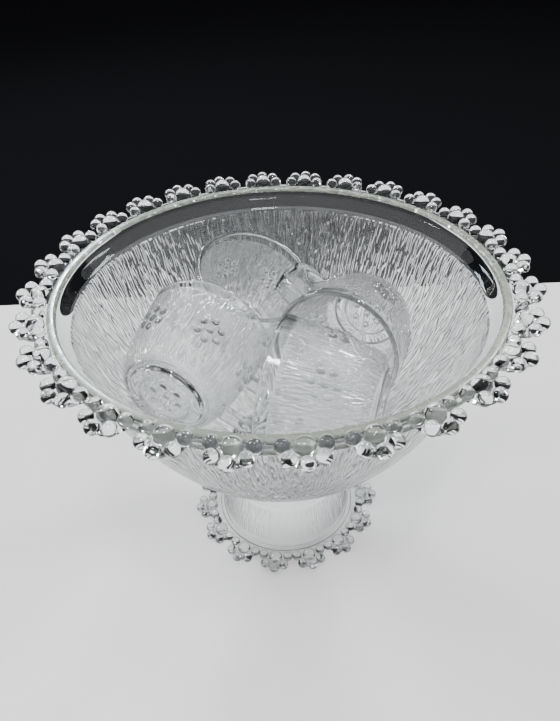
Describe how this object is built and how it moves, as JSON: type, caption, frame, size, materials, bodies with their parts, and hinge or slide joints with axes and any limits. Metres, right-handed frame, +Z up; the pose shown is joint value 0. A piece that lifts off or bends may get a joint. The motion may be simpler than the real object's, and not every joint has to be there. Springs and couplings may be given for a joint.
{
  "type": "punch bowl",
  "caption": "Pressed clear glass punch bowl on a separate flared stand, with scalloped bead rims and handled punch cups lying inside the bowl",
  "frame": {"origin": "centre of the stand's base ring, on the table", "axes": "+Z up along the bowl's axis; -Y towards the viewer of the front; +X to that viewer's right"},
  "size_m": [0.2798, 0.2798, 0.1886],
  "materials": {
    "bowl_glass": "clear colourless pressed glass, bark texture on the wall, polished lip and beads",
    "stand_glass": "clear colourless pressed glass, bark texture near the flared end, polished above",
    "cup_glass": "clear colourless pressed glass, fine bark texture, smooth rim band, raised dot flowers"
  },
  "bodies": {
    "stand": {"stand": "stand_glass"},
    "punch_bowl": {"punch_bowl": "bowl_glass"},
    "cup_front_left": {"cup_front_left": "cup_glass"},
    "cup_back": {"cup_back": "cup_glass"},
    "cup_right": {"cup_right": "cup_glass"},
    "cup_front_right": {"cup_front_right": "cup_glass"}
  },
  "joints": [
    {"name": "bowl_lift", "type": "slide", "parent": "stand", "child": "punch_bowl", "axis": [0, 0, 1], "range_m": [0, 0.06]},
    {"name": "cup_front_left_lift", "type": "slide", "parent": "punch_bowl", "child": "cup_front_left", "axis": [-0.099, -0.099, 0.9901], "range_m": [0, 0.14]},
    {"name": "cup_back_lift", "type": "slide", "parent": "punch_bowl", "child": "cup_back", "axis": [0.0976, 0.1952, 0.9759], "range_m": [0, 0.14]},
    {"name": "cup_right_lift", "type": "slide", "parent": "cup_back", "child": "cup_right", "axis": [0.1925, 0.1925, 0.9623], "range_m": [0, 0.14]},
    {"name": "cup_front_right_lift", "type": "slide", "parent": "punch_bowl", "child": "cup_front_right", "axis": [0.0976, -0.1952, 0.9759], "range_m": [0, 0.14]}
  ]
}
